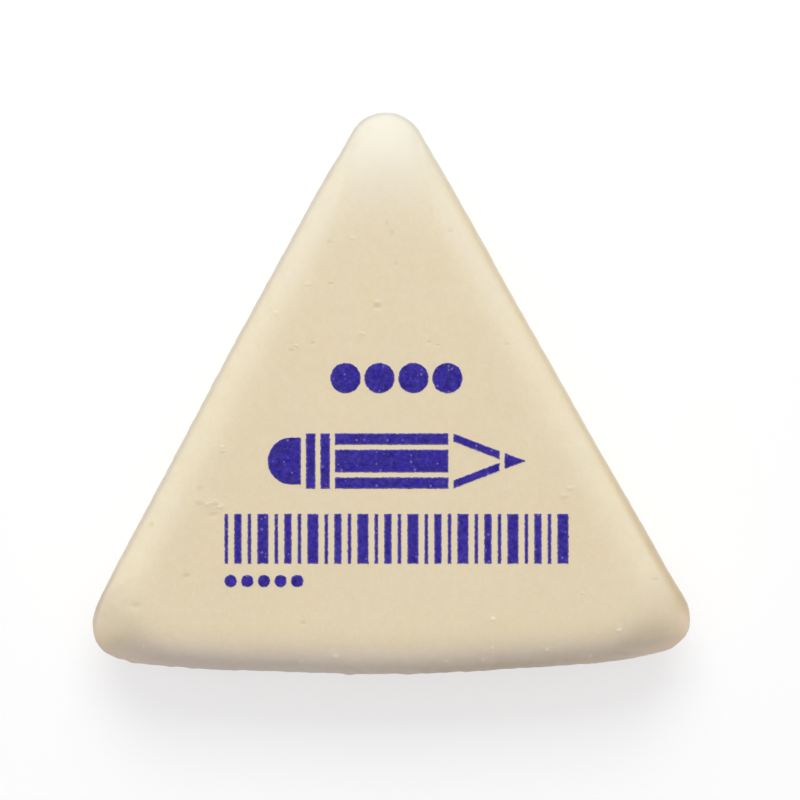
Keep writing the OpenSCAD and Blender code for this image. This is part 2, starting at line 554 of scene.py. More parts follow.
@dataclass(frozen=True)
class InkFinish:
    """Blue-violet pad-printing ink, a little mottled, with pinholes and a thin rim.

    Attributes:
        violet: Colour of the full film.
        thin: Colour where the film is thin, at its rim.
        bare: Colour of the rubber that shows through pinholes.
        roughness: Middle roughness of the film.
        drifts: Scale, swing in lightness and swing in warmth of the film's mottle.
        hole_share: How much of the rubber shows through a pinhole.
        bump_depth: Depth of the bump.
    """

    violet: Rgb = linear(54, 43, 142)
    thin: Rgb = linear(128, 116, 172)
    bare: Rgb = linear(132, 120, 186)
    roughness: float = 0.6
    drifts: Layers = ((1200.0, 0.13, 0.02), (3000.0, 0.24, 0.02), (8000.0, 0.1, 0.02))
    hole_share: float = 0.6
    bump_depth: float = 0.01 * MM

    def material(self, effects: Effects) -> bpy.types.Material:
        """Builds the ink's material.

        Args:
            effects: The shared node groups.

        Returns:
            The material.
        """
        made, board = open_material("print_ink")
        place = board.add("ShaderNodeTexCoord").outputs["Object"]
        rim = board.add("ShaderNodeAttribute", attribute_name="rim").outputs["Fac"]
        mottled = effects.drift(board, place, self.violet, self.drifts)
        rimmed = board.blend(rim, mottled, self.thin)
        holes = board.effect(effects.specks, {"Vector": place, "Scale": 3600.0, "Size": 0.36, "Share": 0.18})
        holed = board.blend(board.math("MULTIPLY", holes, self.hole_share), rimmed, self.bare)
        grain = board.effect(effects.fine_grain, {"Vector": place, "Scale": 5000.0})
        bump = board.add("ShaderNodeBump", {"Height": grain, "Strength": 0.3, "Distance": self.bump_depth})
        rough = board.ramp(grain, 0.3, 0.7, self.roughness - 0.08, self.roughness + 0.08)
        shader = board.add(
            "ShaderNodeBsdfPrincipled",
            {"Base Color": holed, "Roughness": rough, "Normal": bump.outputs[0], "Specular IOR Level": 0.1},
        )
        board.surface(shader)
        return made


@dataclass(frozen=True)
class Outline:
    """Plan of the block: two straight legs, a bowed base and three rounded corners.

    Attributes:
        base_w: Base between the sharp corners.
        apex_h: Height from the base corners up to the sharp apex.
        base_bow: How far the base bows out at its middle.
        corner_r: Radius of the corners.
        corner_points, leg_points, base_points: Number of points on each stretch of the outline.
    """

    base_w: float = 47 * MM
    apex_h: float = 42.7 * MM
    base_bow: float = 1.6 * MM
    corner_r: float = 3 * MM
    corner_points: int = 44
    leg_points: int = 240
    base_points: int = 260

    @property
    def half_apex(self) -> float:
        """Half of the apex angle."""
        return math.atan2(self.base_w / 2, self.apex_h)

    @property
    def bow_r(self) -> float:
        """Radius of the circle that the bowed base follows."""
        return ((self.base_w / 2) ** 2 + self.base_bow**2) / (2 * self.base_bow)

    @property
    def bow_y(self) -> float:
        """Height of that circle's centre above the base corners."""
        return self.bow_r - self.base_bow

    @property
    def middle_y(self) -> float:
        """Height of the outline's middle above the base corners."""
        apex_y = self.apex_h - self.corner_r * (1 / math.sin(self.half_apex) - 1)
        return (apex_y - self.base_bow) / 2

    @property
    def top_y(self) -> float:
        """Place of the rounded apex's tip, from the outline's middle."""
        return self.middle_y + self.base_bow

    @property
    def base_corner(self) -> tuple[float, float]:
        """Place of the right base corner's rounded tip, from the outline's middle."""
        ring = self.rings(np.zeros(1), np.full(1, self.corner_r), np.full(1, self.corner_r))[0]
        tip = ring[np.argmax(ring[:, 0] - ring[:, 1])]
        return float(tip[0]), float(tip[1])

    @staticmethod
    def _arc(centre: Array, radius: Array, start: Array, end: Array, count: int) -> Array:
        """Points centre + radius (cos a, sin a), with a from start up to, but without, end.

        Args:
            centre: Centres, one per ring.
            radius: Radii, one per ring.
            start, end: Angles, one per ring.
            count: Number of points.

        Returns:
            Points by ring, point and axis.
        """
        share = np.linspace(0, 1, count, endpoint=False)
        angle = start[:, None] + (end - start)[:, None] * share
        spokes = np.stack([np.cos(angle), np.sin(angle)], -1)
        return centre[:, None, :] + radius[:, None, None] * spokes

    @staticmethod
    def _line(start: Array, end: Array, count: int) -> Array:
        """Points evenly from start up to, but without, end, by ring, point and axis."""
        share = np.linspace(0, 1, count, endpoint=False)[None, :, None]
        return start[:, None, :] + (end - start)[:, None, :] * share

    def rings(self, inset: Array, apex_r: Array, base_r: Array) -> Array:
        """The outline moved in by insets, with corners of given radii, anticlockwise from the apex.

        A base corner's circle touches the leg and the bowed base, both moved in: its centre lies on the
        line that far inside the leg, where its distance from the bow's centre is bow_r - inset - base_r.

        Args:
            inset: How far each ring lies inside the outline.
            apex_r: Radius of each ring's apex.
            base_r: Radius of each ring's base corners.

        Returns:
            Points by ring, point and axis, with the outline's middle at the origin.
        """
        sine, cosine = math.sin(self.half_apex), math.cos(self.half_apex)
        tip = self.apex_h - (inset + apex_r) / sine
        sharp = self.apex_h - (inset + base_r) / sine
        drop = sharp - self.bow_y
        reach = self.bow_r - inset - base_r
        along = drop * cosine + np.sqrt(reach**2 - (drop * sine) ** 2)
        apex = np.stack([np.zeros_like(tip), tip], -1)
        right = np.stack([along * sine, sharp - along * cosine], -1)
        left = right * np.array([-1, 1])
        bow = np.stack([np.zeros_like(tip), np.full_like(tip, self.bow_y)], -1)
        steep = np.full_like(tip, self.half_apex)
        fall = np.arctan2(right[:, 1] - self.bow_y, right[:, 0])
        outward, mirror = np.array([cosine, sine]), np.array([-1, 1])
        apex_side, base_side = apex_r[:, None] * outward, base_r[:, None] * outward
        stretches = [
            self._arc(apex, apex_r, steep, math.pi - steep, self.corner_points),
            self._line(apex + apex_side * mirror, left + base_side * mirror, self.leg_points),
            self._arc(left, base_r, math.pi - steep, math.pi - fall, self.corner_points),
            self._arc(bow, self.bow_r - inset, math.pi - fall, 2 * math.pi + fall, self.base_points),
            self._arc(right, base_r, 2 * math.pi + fall, 2 * math.pi + steep, self.corner_points),
            self._line(right + base_side, apex + apex_side, self.leg_points),
        ]
        return np.concatenate(stretches, 1) - np.array([0, self.middle_y])


@dataclass(frozen=True)
class Swell:
    """A broad place where the wall stands a little out or in, as on tumbled rubber.

    Attributes:
        x, y: Its place from the block's middle, in millimetres.
        radius: Its reach, in millimetres.
        amount: How far the wall stands out, in millimetres, and below 0 how far in.
    """

    x: float
    y: float
    radius: float
    amount: float


@dataclass(frozen=True)
class Site:
    """Place, tilt and direction of each point of the block.

    Attributes:
        x, y: The place from above.
        height: Height as a share of the block's thickness.
        slope: Sine of the tilt.
        across, along: How far the tilt is to the right and towards the apex, from -1 to 1.
        turn: Angle of the tilt, in degrees, from the side (0) to the apex (90) or to the base (-90).
        tip: Distance from the apex.
        corner: Distance from the nearer base corner.
    """

    x: Array
    y: Array
    height: Array
    slope: Array
    across: Array
    along: Array
    turn: Array
    tip: Array
    corner: Array

    @classmethod
    def of(cls, outline: Outline, thickness: float, points: Array, normals: Array) -> "Site":
        """Reads the places and directions off the form.

        Args:
            outline: Plan of the block.
            thickness: Thickness of the block.
            points: The form's points.
            normals: Its outward normals.

        Returns:
            The site of each point.
        """
        x, y, z = np.moveaxis(points, -1, 0)
        slope = np.hypot(normals[..., 0], normals[..., 1])
        across, along = np.moveaxis(normals[..., :2], -1, 0) / np.maximum(slope, 1e-6)
        turn = np.degrees(np.arctan2(along, np.abs(across)))
        corner_x, corner_y = outline.base_corner
        tip = np.hypot(x, y - outline.top_y)
        corner = np.hypot(np.abs(x) - corner_x, y - corner_y)
        return cls(x, y, z / thickness, slope, across, along, turn, tip, corner)


@dataclass(frozen=True)
class Step:
    """A factor that goes from start to end while a measure of a point goes from low to high.

    Attributes:
        measure: Name of the measure, as in Site.
        low, high: Where the change begins and ends. The low end may be a step of another measure.
        start, end: The factor before and after the change.
        even: Whether it changes evenly rather than smoothly.
    """

    measure: str
    low: "float | Step"
    high: float
    start: float = 0.0
    end: float = 1.0
    even: bool = False

    def at(self, site: Site) -> Array:
        """The factor at each point of a site.

        Args:
            site: The points.

        Returns:
            One factor per point.
        """
        low = self.low.at(site) if isinstance(self.low, Step) else self.low
        share = np.clip((getattr(site, self.measure) - low) / (self.high - low), 0, 1)
        rise = share if self.even else smooth_step(share, 0, 1)
        return self.start + (self.end - self.start) * rise


@dataclass(frozen=True)
class Bell:
    """A factor that swells around one value of a measure.

    Attributes:
        measure: Name of the measure, as in Site.
        reach, middle: Reach and middle of the bell.
        away, peak: The factor far from the middle, and in it.
    """

    measure: str
    reach: float
    middle: float = 0.0
    away: float = 0.0
    peak: float = 1.0

    def at(self, site: Site) -> Array:
        """The factor at each point of a site."""
        swell = bell(getattr(site, self.measure) - self.middle, self.reach)
        return self.away + (self.peak - self.away) * swell


@dataclass(frozen=True)
class Zone:
    """A zone of a painted colour mask: a share times all its factors.

    Attributes:
        share: The share where every factor is 1.
        factors: What it is multiplied by.
        outside: Whether the zone is what that product leaves of 1.
    """

    share: float
    factors: "tuple[Step | Bell | Zone, ...]"
    outside: bool = False

    def at(self, site: Site) -> Array:
        """The zone's share at each point of a site."""
        product = self.share * math.prod(factor.at(site) for factor in self.factors)
        return 1 - product if self.outside else product


# Factors that several zones share: the sides of the block, its base corners, the left corner's weaker painted
# light, the wall's lower part, where the painted shade is weaker, the rim, and the right rim, where the
# painted shade gives way to warm painted shade.
BASE = Step("along", -0.95, -0.55, 1, 0)
LEGS = Step("along", -0.95, -0.55)
LEFT = Step("across", 0.3, 0.7, 1, 0)
RIGHT = Step("across", 0.3, 0.7)
CORNER = Bell("corner", 4.5 * MM)
CORNER_SIDE = Step("x", -1 * MM, 1 * MM, 0.55, 1)
WALL = Step("height", 0.4, 0.69, 0.35, 1)
RIM = Step("slope", 0.875, 0.978)
CLEAR_OF_WARM_SHADE = Zone(1, (RIGHT, Step("y", -14.5 * MM, -0.5 * MM, 1, 0.61)), outside=True)


@dataclass(frozen=True)
class PaintedLightAndDust:
    """Where colour is painted on the rubber: dust and bloom, and painted light, highlights and shade.

    Attributes:
        dust_and_fill_light: Dust on the base's roll, thicker at the left and at the corners, which also
            paints
        cool fill light on that shaded side.
        bloom_and_highlight: Bloom and painted highlight on the legs' roll, more at the top and less at the
            corners,
        and around the apex.
        worn: Painted light on the base corners' walls, and on the shoulders where they run into the legs,
            which
        makes them look rubbed pale.
        painted_shade: Painted shade at the legs' rim, more of it low on the left, on the apex's roll and
            beside the corners.
        warm_painted_shade: Warm painted shade at the right leg's rim, more and wider towards its lower end,
            at the base's
        rim, and in the folds where the base runs into its corners.
    """

    dust_and_fill_light: tuple[Zone, ...] = (
        Zone(
            0.42,
            (
                BASE,
                Step("slope", 0.06, 0.51, even=True),
                Step("x", -8 * MM, 16 * MM, 1, 0.65),
                Bell("corner", 4.5 * MM, away=1, peak=1.3),
            ),
        ),
    )
    bloom_and_highlight: tuple[Zone, ...] = (
        Zone(
            0.15,
            (
                LEGS,
                Step("y", 2 * MM, 15 * MM, 1, 2),
                Step("slope", 0, 0.35, even=True),
                Bell("corner", 4.5 * MM, away=1, peak=0.4),
                Zone(1, (RIGHT, Step("slope", 0.72, 0.9)), outside=True),
            ),
        ),
        Zone(0.57, (Bell("tip", 7 * MM), Step("slope", 0, 0.07, 0.55, 1))),
    )
    # Painted light on the base corners' walls and shoulders.
    worn: tuple[Zone, ...] = (
        Zone(0.9, (CORNER, CORNER_SIDE, Step("slope", 0.72, 0.95), Step("turn", -13, 12, 1, 0))),
        Zone(
            0.34,
            (
                CORNER,
                CORNER_SIDE,
                Step("slope", 0.08, 0.3),
                Step("slope", 0.8, 0.93, 1, 0),
                Bell("turn", 20, -8),
            ),
        ),
    )
    painted_shade: tuple[Zone, ...] = (
        Zone(0.55, (WALL, RIM, LEGS, CLEAR_OF_WARM_SHADE, Step("turn", -20, 15, 0.5, 1))),
        Zone(
            0.42,
            (
                WALL,
                RIM,
                LEGS,
                CLEAR_OF_WARM_SHADE,
                LEFT,
                Step("turn", -20, 15),
                Step("y", -15.5 * MM, -11.5 * MM, 1, 0),
            ),
        ),
        Zone(0.23, (WALL, Step("slope", 0.05, 0.7), Step("along", 0.5, 0.75))),
        Zone(0.53, (WALL, Bell("corner", 7.2 * MM), Bell("turn", 27, -72), Bell("slope", 0.25, 0.55))),
    )
    warm_painted_shade: tuple[Zone, ...] = (
        Zone(
            0.88,
            (
                WALL,
                LEGS,
                RIGHT,
                Step("y", -14.5 * MM, -0.5 * MM, 1, 0.22),
                Step("turn", -18, 12),
                Step("slope", Step("y", -13 * MM, -4 * MM, 0.71, 0.83), 0.965),
            ),
        ),
        Zone(0.4, (WALL, BASE, Bell("x", 6 * MM, 7 * MM), Step("slope", 0.72, 0.92))),
        Zone(0.3, (WALL, Bell("corner", 5.85 * MM), Bell("turn", 28, -60), Bell("slope", 0.22, 0.52))),
    )

    def masks(self, site: Site) -> dict[str, Array]:
        """All the masks of the block. Zones of painted shade add up, and of the others the strongest one
        counts.

        Args:
            site: The block's points.

        Returns:
            One share from 0 to 1 per point, by the mask's name.
        """
        strongest = {"dust_and_fill_light": self.dust_and_fill_light, "bloom_and_highlight": self.bloom_and_highlight, "worn": self.worn, "warm_painted_shade": self.warm_painted_shade}
        made = {name: np.max([zone.at(site) for zone in zones], 0) for name, zones in strongest.items()}
        return made | {"painted_shade": np.sum([zone.at(site) for zone in self.painted_shade], 0)}


@dataclass
class RubberBlock:
    """The block: the outline lofted through a superelliptic roll, with small marks and uneven walls.

    Attributes:
        outline: Plan of the block.
        roll_w: Width of the roll, from the flat face out to the wall.
        apex_flat_r, base_flat_r: Radius of the flat face's apex and of its base corners.
        base_wear: How much rounder the base corners are worn between the wall and the flat face.
        painted_light_and_dust: Where colour is painted on the rubber: dust and bloom, and painted light,
            highlights and shade.
        power: Fullness of the roll: 2 is an ellipse, and more is squarer.
        wall_wave, base_wave: Spread of the unevenness of the legs' walls and of the base's wall.
        face_wave: Spread of the flat face's unevenness.
        wall_waves, face_waves: Short waves of the walls and slow waves of the face.
        base_side, wall_slope: Steps from the legs to the base, and from the face to the wall.
        foot: Height over which the unevenness starts above the bottom.
        mark_depth: Height of a mark next to its radius.
        roll_rings, under_rings: Number of rings on the roll's upper and lower half.
        face_rings, back_rings: Number of rings across the top and the bottom face.
        swells: Broad unevenness of the walls.
        marks: Small marks in the top.
    """

    outline: Outline = field(default_factory=Outline)
    roll_w: float = 4.2 * MM
    apex_flat_r: float = 5 * MM
    base_flat_r: float = 0.6 * MM
    base_wear: float = 6.5 * MM
    painted_light_and_dust: PaintedLightAndDust = field(default_factory=PaintedLightAndDust)
    power: float = 3.5
    wall_wave: float = 0.012 * MM
    base_wave: float = 0.026 * MM
    face_wave: float = 0.004 * MM
    wall_waves: Waves = Waves(5, 0.7 * MM, 3 * MM, 48)
    face_waves: Waves = Waves(11, 5 * MM, 16 * MM)
    base_side: Span = (0.6, 0.95)
    wall_slope: Span = (0.1, 0.9)
    foot: float = 1 * MM
    mark_depth: float = 0.12
    roll_rings: int = 28
    under_rings: int = 16
    face_rings: int = 62
    back_rings: int = 4
    swells: tuple[Swell, ...] = (
        Swell(-3.1, 18.6, 2.8, -0.2),
        Swell(-11.5, 3.0, 8.0, 0.075),
        Swell(-7.5, -20.5, 3.6, -0.12),
        Swell(9.0, -20.3, 3.6, -0.08),
        Swell(22.2, -16.7, 2.2, 0.21),
        Swell(19.4, -19.5, 2.0, -0.06),
        Swell(21.7, -17.8, 1.5, 0.19),
        Swell(19.1, -19.4, 1.3, -0.1),
        Swell(-21.3, -18.4, 1.6, 0.15),
        Swell(-19.5, -19.4, 1.3, -0.1),
        Swell(-21.3, -14.9, 1.5, -0.08),
        Swell(19.0, -10.5, 5.0, 0.065),
        Swell(5.5, 13.5, 5.0, 0.06),
    )
    marks: tuple[Mark, ...] = (
        *marks_of(
            MarkKind.NICK,
            ((0.15, 12.2, 0.3, 0.7), (0.45, 11.5, 0.34, 0.7), (0.8, 9.3, 0.26, 0.7), (-18.3, -15.2, 0.34)),
        ),
        *marks_of(
            MarkKind.PIT,
            (
                (-4.0, 10.9, 0.22), (4.7, 11.6, 0.2), (-4.0, 7.9, 0.2), (-0.65, 6.2, 0.26), (-5.3, 3.6, 0.16),
                (-6.9, 3.1, 0.22), (3.1, 3.6, 0.14), (3.7, 3.4, 0.12), (8.7, 3.4, 0.16), (-12.6, -8.7, 0.26),
                (-14.6, -13.1, 0.26), (-6.2, -16.6, 0.2), (19.2, -13.7, 0.18),
            ),
        ),
        *marks_of(
            MarkKind.GRAIN,
            (
                (-2.3, 11.2, 0.2), (-5.6, 7.9, 0.18, 2.5), (-0.6, 6.55, 0.2), (-8.0, 5.9, 0.2),
                (-1.7, 4.3, 0.18), (-6.5, 3.5, 0.16), (-11.9, -3.8, 0.16), (-13.0, -7.9, 0.2),
                (-12.1, -8.1, 0.24), (13.2, -7.0, 0.24), (14.0, -14.6, 0.14),
            ),
        ),
        *marks_of(
            MarkKind.CRUMB,
            ((-11.9, -4.1, 0.2), (-13.6, -7.7, 0.3), (-12.5, -7.8, 0.26), (12.75, -7.6, 0.26)),
        ),
        *marks_of(MarkKind.STAIN, ((-13.6, -6.7, 0.3), (-17.1, -9.3, 0.24))),
        *marks_of(
            MarkKind.FLECK,
            (
                (7.5, -16.4, 0.2), (16.6, -17.3, 0.2), (11.4, -18.7, 0.2), (7.4, -18.5, 0.14),
                (14.5, -19.2, 0.2), (6.7, -19.4, 0.16), (4.1, -19.5, 0.16), (-6.4, -19.4, 0.18),
                (-3.9, -19.0, 0.2),
            ),
        ),
    )

    def __post_init__(self) -> None:
        """Reads the thickness from the CAD block's box."""
        low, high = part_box("rubber_block")
        self.thickness = high.z - low.z

    def face_height(self, places: Array) -> Array:
        """Height of the flat top face, with its slow unevenness.

        Args:
            places: Points by X and Y.

        Returns:
            One height per point.
        """
        return self.thickness + self.face_wave * self.face_waves.at(places)

    def _quarter(self, count: int) -> Array:
        """Angles from 0 to 90 degrees that put the rings of half the roll at about even distances."""
        step = np.linspace(0, 1, count + 1)
        near, far = step ** (self.power / 2), (1 - step) ** (self.power / 2)
        return math.pi / 2 * near / (near + far)

    def _section(self) -> tuple[Array, Array, Array]:
        """The rings' insets, heights and shares of the flat face, from the bottom's middle to the top's.

        The roll is a superellipse: inset = roll_w (1 - cos(a)^(2/power)) and height = thickness / 2
        (1 + sin(a)^(2/power)), with the angle a from -90 degrees at the bottom to 90 at the top.
        """
        angle = np.concatenate([-self._quarter(self.under_rings)[:0:-1], self._quarter(self.roll_rings)])
        out = np.clip(np.cos(angle), 0, 1) ** (2 / self.power)
        up = np.abs(np.sin(angle)) ** (2 / self.power) * np.sign(angle)
        back = np.linspace(0, 1, self.back_rings + 1)[1:-1]
        face = np.linspace(1, 0, self.face_rings + 1)[1:-1]
        ends = (len(back), len(face))
        inset = np.pad(self.roll_w * (1 - out), ends, constant_values=self.roll_w)
        height = np.pad(self.thickness / 2 * (1 + up), ends, constant_values=(0, self.thickness))
        share = np.concatenate([back, np.ones(len(angle)), face])
        return inset, height, share

    def _surface(self) -> tuple[Array, Array]:
        """The smooth form and its outward normals, by ring and point.

        A normal is the cross product of the step round the ring and the step from ring to ring.
        """
        inset, height, share = self._section()
        within = inset / self.roll_w
        corner_r = self.outline.corner_r
        apex_r = corner_r + (self.apex_flat_r - corner_r) * within
        worn = self.base_wear * (np.sqrt(within) - within)
        base_r = corner_r + (self.base_flat_r - corner_r) * within + worn
        plan = self.outline.rings(inset, apex_r, base_r) * share[:, None, None]
        points = np.concatenate([plan, np.broadcast_to(height[:, None, None], (*plan.shape[:2], 1))], -1)
        round_step = np.roll(points, -1, 1) - np.roll(points, 1, 1)
        up_step = np.gradient(points, axis=0)
        normals = np.cross(round_step, up_step)
        return points, normals / np.linalg.norm(normals, axis=-1, keepdims=True)

    def _relief(self, points: Array) -> Array:
        """Height that the larger marks add to the top, as bells exp(-(d / radius)^2).

        Args:
            points: The form's points.

        Returns:
            One height per point.
        """
        height = np.zeros(points.shape[:-1])
        for mark in self.marks:
            radius = mark.radius * MM
            across = (points[..., 0] - mark.x * MM) / mark.stretch
            away = np.hypot(across, points[..., 1] - mark.y * MM)
            height += mark.kind.relief * self.mark_depth * radius * bell(away, radius)
        return height * (points[..., 2] > self.thickness / 2)

    def _uneven(self, points: Array, normals: Array, slope: Array) -> Array:
        """How far the walls stand out: broad swells as bells exp(-(d / radius)^2), and short waves.

        Args:
            points: The form's points.
            normals: Its outward normals.
            slope: Sine of each point's tilt.

        Returns:
            One distance per point.
        """
        front = smooth_step(-normals[..., 1], *self.base_side)
        spread = self.wall_wave + (self.base_wave - self.wall_wave) * front
        out = spread * self.wall_waves.at(points)
        for swell in self.swells:
            away = np.hypot(points[..., 0] - swell.x * MM, points[..., 1] - swell.y * MM)
            out = out + swell.amount * MM * bell(away, swell.radius * MM)
        return out * smooth_step(slope, *self.wall_slope) * smooth_step(points[..., 2], 0, self.foot)

    def build(self, material: bpy.types.Material) -> bpy.types.Object:
        """Builds the block, dresses it and puts it in the CAD block's place.

        Args:
            material: The rubber.

        Returns:
            The piece.
        """
        points, normals = self._surface()
        site = Site.of(self.outline, self.thickness, points, normals)
        masks = self.painted_light_and_dust.masks(site)
        moved = self._uneven(points, normals, site.slope) + self._relief(points)
        points = points + normals * moved[..., None]
        lift = self.face_height(points[..., :2]) - self.thickness
        points[..., 2] += lift * smooth_step(points[..., 2], self.thickness / 2, self.thickness)
        rings, count = points.shape[:2]
        poles = np.array([[0, 0, 0], [0, 0, float(self.face_height(np.zeros((1, 2)))[0])]])
        bottom, top = rings * count, rings * count + 1
        here = np.arange(count)
        after = (here + 1) % count
        last = (rings - 1) * count
        under = np.stack([np.full(count, bottom), after, here], -1)
        crown = np.stack([np.full(count, top), last + here, last + after], -1)
        vertices = np.concatenate([points.reshape(-1, 3), poles])
        piece = mesh_piece("eraser_block", vertices, [under, ring_faces(rings, count), crown])
        # The masks of dust, bloom and painted light, highlight and shade go to the rubber as point
        # attributes.
        for name, share in masks.items():
            point_attribute(piece, name, np.concatenate([share.ravel(), [0, 0]]))
        piece.data.materials.append(material)
        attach(piece, "root")
        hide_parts("rubber_block")
        return piece


@dataclass
class InkPrint:
    """The ink films on the top face: flat fields with ragged rims that lie on the block's own face.

    Attributes:
        block: The block that carries the print.
        turn: Turn of the print on the face, in degrees.
        film_t: Thickness of the film.
        sunk: How far the film's underside reaches into the rubber.
        step: Spacing of the film's points.
        ragged: Spread of the rim's raggedness.
        rim_w: Width of the thin rim.
        rim_share: What the film's rim has of the film's thickness.
        warps: Short waves that make the rims ragged, along X and Y.
    """

    block: RubberBlock
    turn: float = -0.6
    film_t: float = 0.03 * MM
    sunk: float = 0.01 * MM
    step: float = 0.06 * MM
    ragged: float = 0.012 * MM
    rim_w: float = 0.09 * MM
    rim_share: float = 0.4
    warps: tuple[Waves, Waves] = (Waves(21, 0.15 * MM, 0.7 * MM, 48), Waves(22, 0.15 * MM, 0.7 * MM, 48))

    def _square(self, width: float, height: float) -> tuple[Array, Array]:
        """A grid over the square from -1 to 1, as fine as the film's step on a field of that size."""
        columns = max(4, math.ceil(width / self.step)) + 1
        rows = max(4, math.ceil(height / self.step)) + 1
        return np.meshgrid(np.linspace(-1, 1, columns), np.linspace(-1, 1, rows), indexing="ij")

    def patch(self, corners: Array) -> Array:
        """A four-sided field: the bilinear blend of its corners, anticlockwise from the lower left.

        Args:
            corners: The four corners.

        Returns:
            Points by column, row and axis.
        """
        size = corners.max(0) - corners.min(0)
        u, v = self._square(size[0], size[1])
        u, v = (u[..., None] + 1) / 2, (v[..., None] + 1) / 2
        lower = corners[0] * (1 - u) + corners[1] * u
        upper = corners[3] * (1 - u) + corners[2] * u
        return lower * (1 - v) + upper * v

    def bar(self, x: float, y: float, width: float, height: float) -> Array:
        """A rectangular field from its lower left corner."""
        return self.patch(np.array([[x, y], [x + width, y], [x + width, y + height], [x, y + height]]))

    def disc(self, x: float, y: float, diameter: float) -> Array:
        """A round field: the square bent onto a disc by u sqrt(1 - v^2 / 2) and v sqrt(1 - u^2 / 2)."""
        u, v = self._square(diameter, diameter)
        plan = np.stack([u * np.sqrt(1 - v**2 / 2), v * np.sqrt(1 - u**2 / 2)], -1)
        return np.array([x, y]) + plan * diameter / 2

    def round_end(self, x: float, length: float, height: float) -> Array:
        """A field with a round back: its left side follows a circle as high as the field."""
        u, v = self._square(length, height)
        back = height / 2 * (1 - np.sqrt(np.clip(1 - v**2, 0, 1)))
        return np.stack([x + back + (length - back) * (u + 1) / 2, v * height / 2], -1)

    def build(self, node: str, fields: list[Array], material: bpy.types.Material) -> bpy.types.Object:
        """Builds the films of one row of the print in their CAD node's place.

        Each field is a closed slab: a top sheet that falls to the face at its rim, and a flat underside.
        The plane is warped by two fields of short waves, which makes the rims ragged.

        Args:
            node: The CAD node that the row replaces.
            fields: The row's fields, centred on the row's middle.
            material: The ink.

        Returns:
            The piece.
        """
        low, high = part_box(node)
        middle = np.array([(low.x + high.x) / 2, (low.y + high.y) / 2])
        angle = math.radians(self.turn)
        turned = np.array([[math.cos(angle), -math.sin(angle)], [math.sin(angle), math.cos(angle)]])
        vertices, faces, rims = [], [], []
        start = 0
        for plan in fields:
            flat = plan @ turned.T + middle
            flat = flat + self.ragged * np.stack([warp.at(flat) for warp in self.warps], -1)
            away = self._rim_distance(plan)
            rise = smooth_step(away, -self.rim_w, self.rim_w)
            ground = self.block.face_height(flat)
            film = self.film_t * (self.rim_share + (1 - self.rim_share) * rise)
            sheets = [ground + film, ground - self.sunk]
            vertices += [np.concatenate([flat, z[..., None]], -1).reshape(-1, 3) for z in sheets]
            rims += [1 - smooth_step(away, 0, self.rim_w).ravel()] * 2
            faces.append(start + self._slab_faces(*away.shape))
            start += 2 * away.size
        piece = mesh_piece(node.replace("ink", "print"), np.concatenate(vertices), faces)
        point_attribute(piece, "rim", np.concatenate(rims))
        piece.data.materials.append(material)
        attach(piece, "root")
        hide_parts(node)
        return piece

    @staticmethod
    def _rim_distance(plan: Array) -> Array:
        """Distance of each point from the nearest side of its own grid.

        Args:
            plan: Points by column, row and axis.

        Returns:
            One distance per point.
        """
        sides = [plan[:1], plan[-1:], plan[:, :1], plan[:, -1:]]
        return np.min([np.linalg.norm(plan - side, axis=-1) for side in sides], 0)

    @staticmethod
    def _slab_faces(columns: int, rows: int) -> Array:
        """Quads of a closed slab whose top sheet is numbered first and its underside after it.

        Args:
            columns, rows: Size of each sheet's grid.

        Returns:
            The quads' vertex numbers, facing outwards.
        """
        number = np.arange(columns * rows).reshape(columns, rows)
        corners = [number[:-1, :-1], number[1:, :-1], number[1:, 1:], number[:-1, 1:]]
        top = np.stack(corners, -1).reshape(-1, 4)
        under = top[:, ::-1] + number.size
        loop = np.concatenate([number[:-1, 0], number[-1, :-1], number[:0:-1, -1], number[0, :0:-1]])
        after = np.roll(loop, -1)
        wall = np.stack([loop, loop + number.size, after + number.size, after], -1)
        return np.concatenate([top, under, wall])


@dataclass(frozen=True)
class DotRow:
    """A row of equal dots.

    Attributes:
        node: The CAD node of the row.
        count: Number of dots.
        pitch: Spacing of the dots.
        diameter: Diameter of a dot.
    """

    node: str
    count: int
    pitch: float
    diameter: float

    def fields(self, ink: InkPrint) -> list[Array]:
        """The dots, centred on the row's middle."""
        places = (np.arange(self.count) - (self.count - 1) / 2) * self.pitch
        return [ink.disc(float(x), 0.0, self.diameter) for x in places]


@dataclass(frozen=True)
class BarBand:
    """A band of upright bars in a plain rhythm.

    Attributes:
        node: The CAD node of the band.
        unit: Width of the thinnest bar.
        gap: Space between two bars.
        height: Height of the bars.
        groups: How often the rhythm repeats.
        rhythm: Widths of the bars in one repeat, counted in thin bars.
    """

    node: str = "ink_bar_band"
    unit: float = 0.27 * MM
    gap: float = 0.43 * MM
    height: float = 3.6 * MM
    groups: int = 7
    rhythm: tuple[int, ...] = (1, 2, 1, 3)

    def fields(self, ink: InkPrint) -> list[Array]:
        """The bars, centred on the band's middle."""
        widths = np.tile(np.array(self.rhythm) * self.unit, self.groups)
        starts = np.concatenate([[0], np.cumsum(widths + self.gap)[:-1]])
        starts -= (starts[-1] + widths[-1]) / 2
        return [ink.bar(float(x), -self.height / 2, float(w), self.height) for x, w in zip(starts, widths)]


